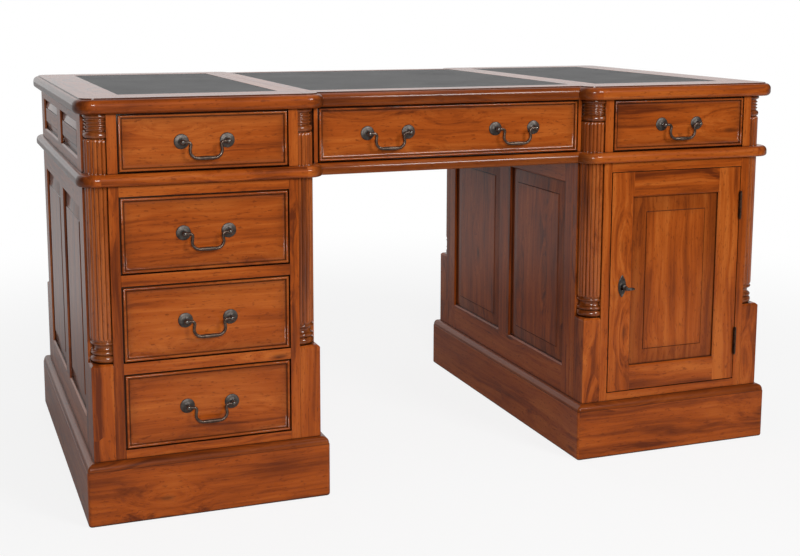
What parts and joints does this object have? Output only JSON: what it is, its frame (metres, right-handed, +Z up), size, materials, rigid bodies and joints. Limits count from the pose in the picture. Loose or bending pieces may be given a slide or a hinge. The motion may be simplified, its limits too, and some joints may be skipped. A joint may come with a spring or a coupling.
{
  "type": "pedestal desk",
  "caption": "Pedestal desk with a leather-lined breakfront top, reeded corner columns, drawers with swan-neck handles and a locking cupboard beside an open kneehole.",
  "frame": {"origin": "on the floor, under the middle of the desk's outline with the key in its lock", "axes": "+X to the right of a person sitting at the desk's drawers, +Y towards the far side, +Z up"},
  "size_m": [1.46, 0.8228, 0.78],
  "materials": {
    "mahogany": "gloss lacquer",
    "turned_mahogany": "gloss lacquer",
    "inner_wood": "thin satin lacquer",
    "leather": "fine grain",
    "bronze": "antique dark"
  },
  "bodies": {
    "carcass": {"back_frames": "mahogany", "back_panels": "mahogany", "corner_blocks": "mahogany", "cupboard_shelf": "inner_wood", "drawer_runners": "inner_wood", "frieze_columns": "turned_mahogany", "frieze_end_frames": "mahogany", "frieze_end_panels": "mahogany", "frieze_partitions": "inner_wood", "frieze_posts": "mahogany", "front_rails": "mahogany", "hinge_frame_leaves": "bronze", "leather_centre": "leather", "leather_left": "leather", "leather_right": "leather", "pedestal_columns": "turned_mahogany", "pedestal_floors": "inner_wood", "plinth_left": "mahogany", "plinth_right": "mahogany", "posts_left": "mahogany", "posts_right": "mahogany", "shelf_battens": "inner_wood", "side_frames_left": "mahogany", "side_frames_right": "mahogany", "side_panels_left": "mahogany", "side_panels_right": "mahogany", "top_board": "mahogany", "waist_board": "mahogany"},
    "frieze_drawer_left": {"frieze_drawer_left_front": "mahogany", "frieze_drawer_left_box": "inner_wood", "frieze_drawer_left_handle_posts": "bronze"},
    "frieze_drawer_left_bail": {"frieze_drawer_left_bail": "bronze"},
    "frieze_drawer_right": {"frieze_drawer_right_front": "mahogany", "frieze_drawer_right_box": "inner_wood", "frieze_drawer_right_handle_posts": "bronze"},
    "frieze_drawer_right_bail": {"frieze_drawer_right_bail": "bronze"},
    "frieze_drawer_centre": {"frieze_drawer_centre_front": "mahogany", "frieze_drawer_centre_box": "inner_wood", "frieze_drawer_centre_handle_posts": "bronze"},
    "frieze_drawer_centre_bail_left": {"frieze_drawer_centre_bail_left": "bronze"},
    "frieze_drawer_centre_bail_right": {"frieze_drawer_centre_bail_right": "bronze"},
    "pedestal_drawer_bottom": {"pedestal_drawer_bottom_front": "mahogany", "pedestal_drawer_bottom_box": "inner_wood", "pedestal_drawer_bottom_handle_posts": "bronze"},
    "pedestal_drawer_bottom_bail": {"pedestal_drawer_bottom_bail": "bronze"},
    "pedestal_drawer_middle": {"pedestal_drawer_middle_front": "mahogany", "pedestal_drawer_middle_box": "inner_wood", "pedestal_drawer_middle_handle_posts": "bronze"},
    "pedestal_drawer_middle_bail": {"pedestal_drawer_middle_bail": "bronze"},
    "pedestal_drawer_top": {"pedestal_drawer_top_front": "mahogany", "pedestal_drawer_top_box": "inner_wood", "pedestal_drawer_top_handle_posts": "bronze"},
    "pedestal_drawer_top_bail": {"pedestal_drawer_top_bail": "bronze"},
    "door": {"door_frame": "mahogany", "door_panel": "mahogany", "door_hinge_leaves": "bronze", "door_lock": "bronze"},
    "key": {"key": "bronze"},
    "lock_bolt": {"lock_bolt": "bronze"}
  },
  "joints": [
    {"name": "frieze_drawer_left_slide", "type": "slide", "parent": "carcass", "child": "frieze_drawer_left", "axis": [0, -1, 0], "range_m": [0, 0.38]},
    {"name": "frieze_drawer_left_bail_swing", "type": "hinge", "parent": "frieze_drawer_left", "child": "frieze_drawer_left_bail", "pos_m": [-0.5, -0.3856, 0.6985], "axis": [-1, 0, 0], "range_deg": [0, 85]},
    {"name": "frieze_drawer_right_slide", "type": "slide", "parent": "carcass", "child": "frieze_drawer_right", "axis": [0, -1, 0], "range_m": [0, 0.38]},
    {"name": "frieze_drawer_right_bail_swing", "type": "hinge", "parent": "frieze_drawer_right", "child": "frieze_drawer_right_bail", "pos_m": [0.5, -0.3856, 0.6985], "axis": [-1, 0, 0], "range_deg": [0, 85]},
    {"name": "frieze_drawer_centre_slide", "type": "slide", "parent": "carcass", "child": "frieze_drawer_centre", "axis": [0, -1, 0], "range_m": [0, 0.38]},
    {"name": "frieze_drawer_centre_bail_left_swing", "type": "hinge", "parent": "frieze_drawer_centre", "child": "frieze_drawer_centre_bail_left", "pos_m": [-0.135, -0.3556, 0.6985], "axis": [-1, 0, 0], "range_deg": [0, 85]},
    {"name": "frieze_drawer_centre_bail_right_swing", "type": "hinge", "parent": "frieze_drawer_centre", "child": "frieze_drawer_centre_bail_right", "pos_m": [0.135, -0.3556, 0.6985], "axis": [-1, 0, 0], "range_deg": [0, 85]},
    {"name": "pedestal_drawer_bottom_slide", "type": "slide", "parent": "carcass", "child": "pedestal_drawer_bottom", "axis": [0, -1, 0], "range_m": [0, 0.38]},
    {"name": "pedestal_drawer_bottom_bail_swing", "type": "hinge", "parent": "pedestal_drawer_bottom", "child": "pedestal_drawer_bottom_bail", "pos_m": [-0.5, -0.3856, 0.206], "axis": [-1, 0, 0], "range_deg": [0, 85]},
    {"name": "pedestal_drawer_middle_slide", "type": "slide", "parent": "carcass", "child": "pedestal_drawer_middle", "axis": [0, -1, 0], "range_m": [0, 0.38]},
    {"name": "pedestal_drawer_middle_bail_swing", "type": "hinge", "parent": "pedestal_drawer_middle", "child": "pedestal_drawer_middle_bail", "pos_m": [-0.5, -0.3856, 0.369], "axis": [-1, 0, 0], "range_deg": [0, 85]},
    {"name": "pedestal_drawer_top_slide", "type": "slide", "parent": "carcass", "child": "pedestal_drawer_top", "axis": [0, -1, 0], "range_m": [0, 0.38]},
    {"name": "pedestal_drawer_top_bail_swing", "type": "hinge", "parent": "pedestal_drawer_top", "child": "pedestal_drawer_top_bail", "pos_m": [-0.5, -0.3856, 0.532], "axis": [-1, 0, 0], "range_deg": [0, 85]},
    {"name": "door_swing", "type": "hinge", "parent": "carcass", "child": "door", "pos_m": [0.6565, -0.3776, 0.369], "axis": [0, 0, 1], "range_deg": [0, 110]},
    {"name": "key_turn", "type": "hinge", "parent": "door", "child": "key", "pos_m": [0.3735, -0.3726, 0.3625], "axis": [0, 1, 0], "range_deg": [0, 180]},
    {"name": "bolt_throw", "type": "slide", "parent": "door", "child": "lock_bolt", "axis": [-1, 0, 0], "range_m": [0, 0.0111]}
  ],
  "couplings": [
    {"joint": "bolt_throw", "follows": "key_turn", "m_per_rad": 0.0035014}
  ]
}
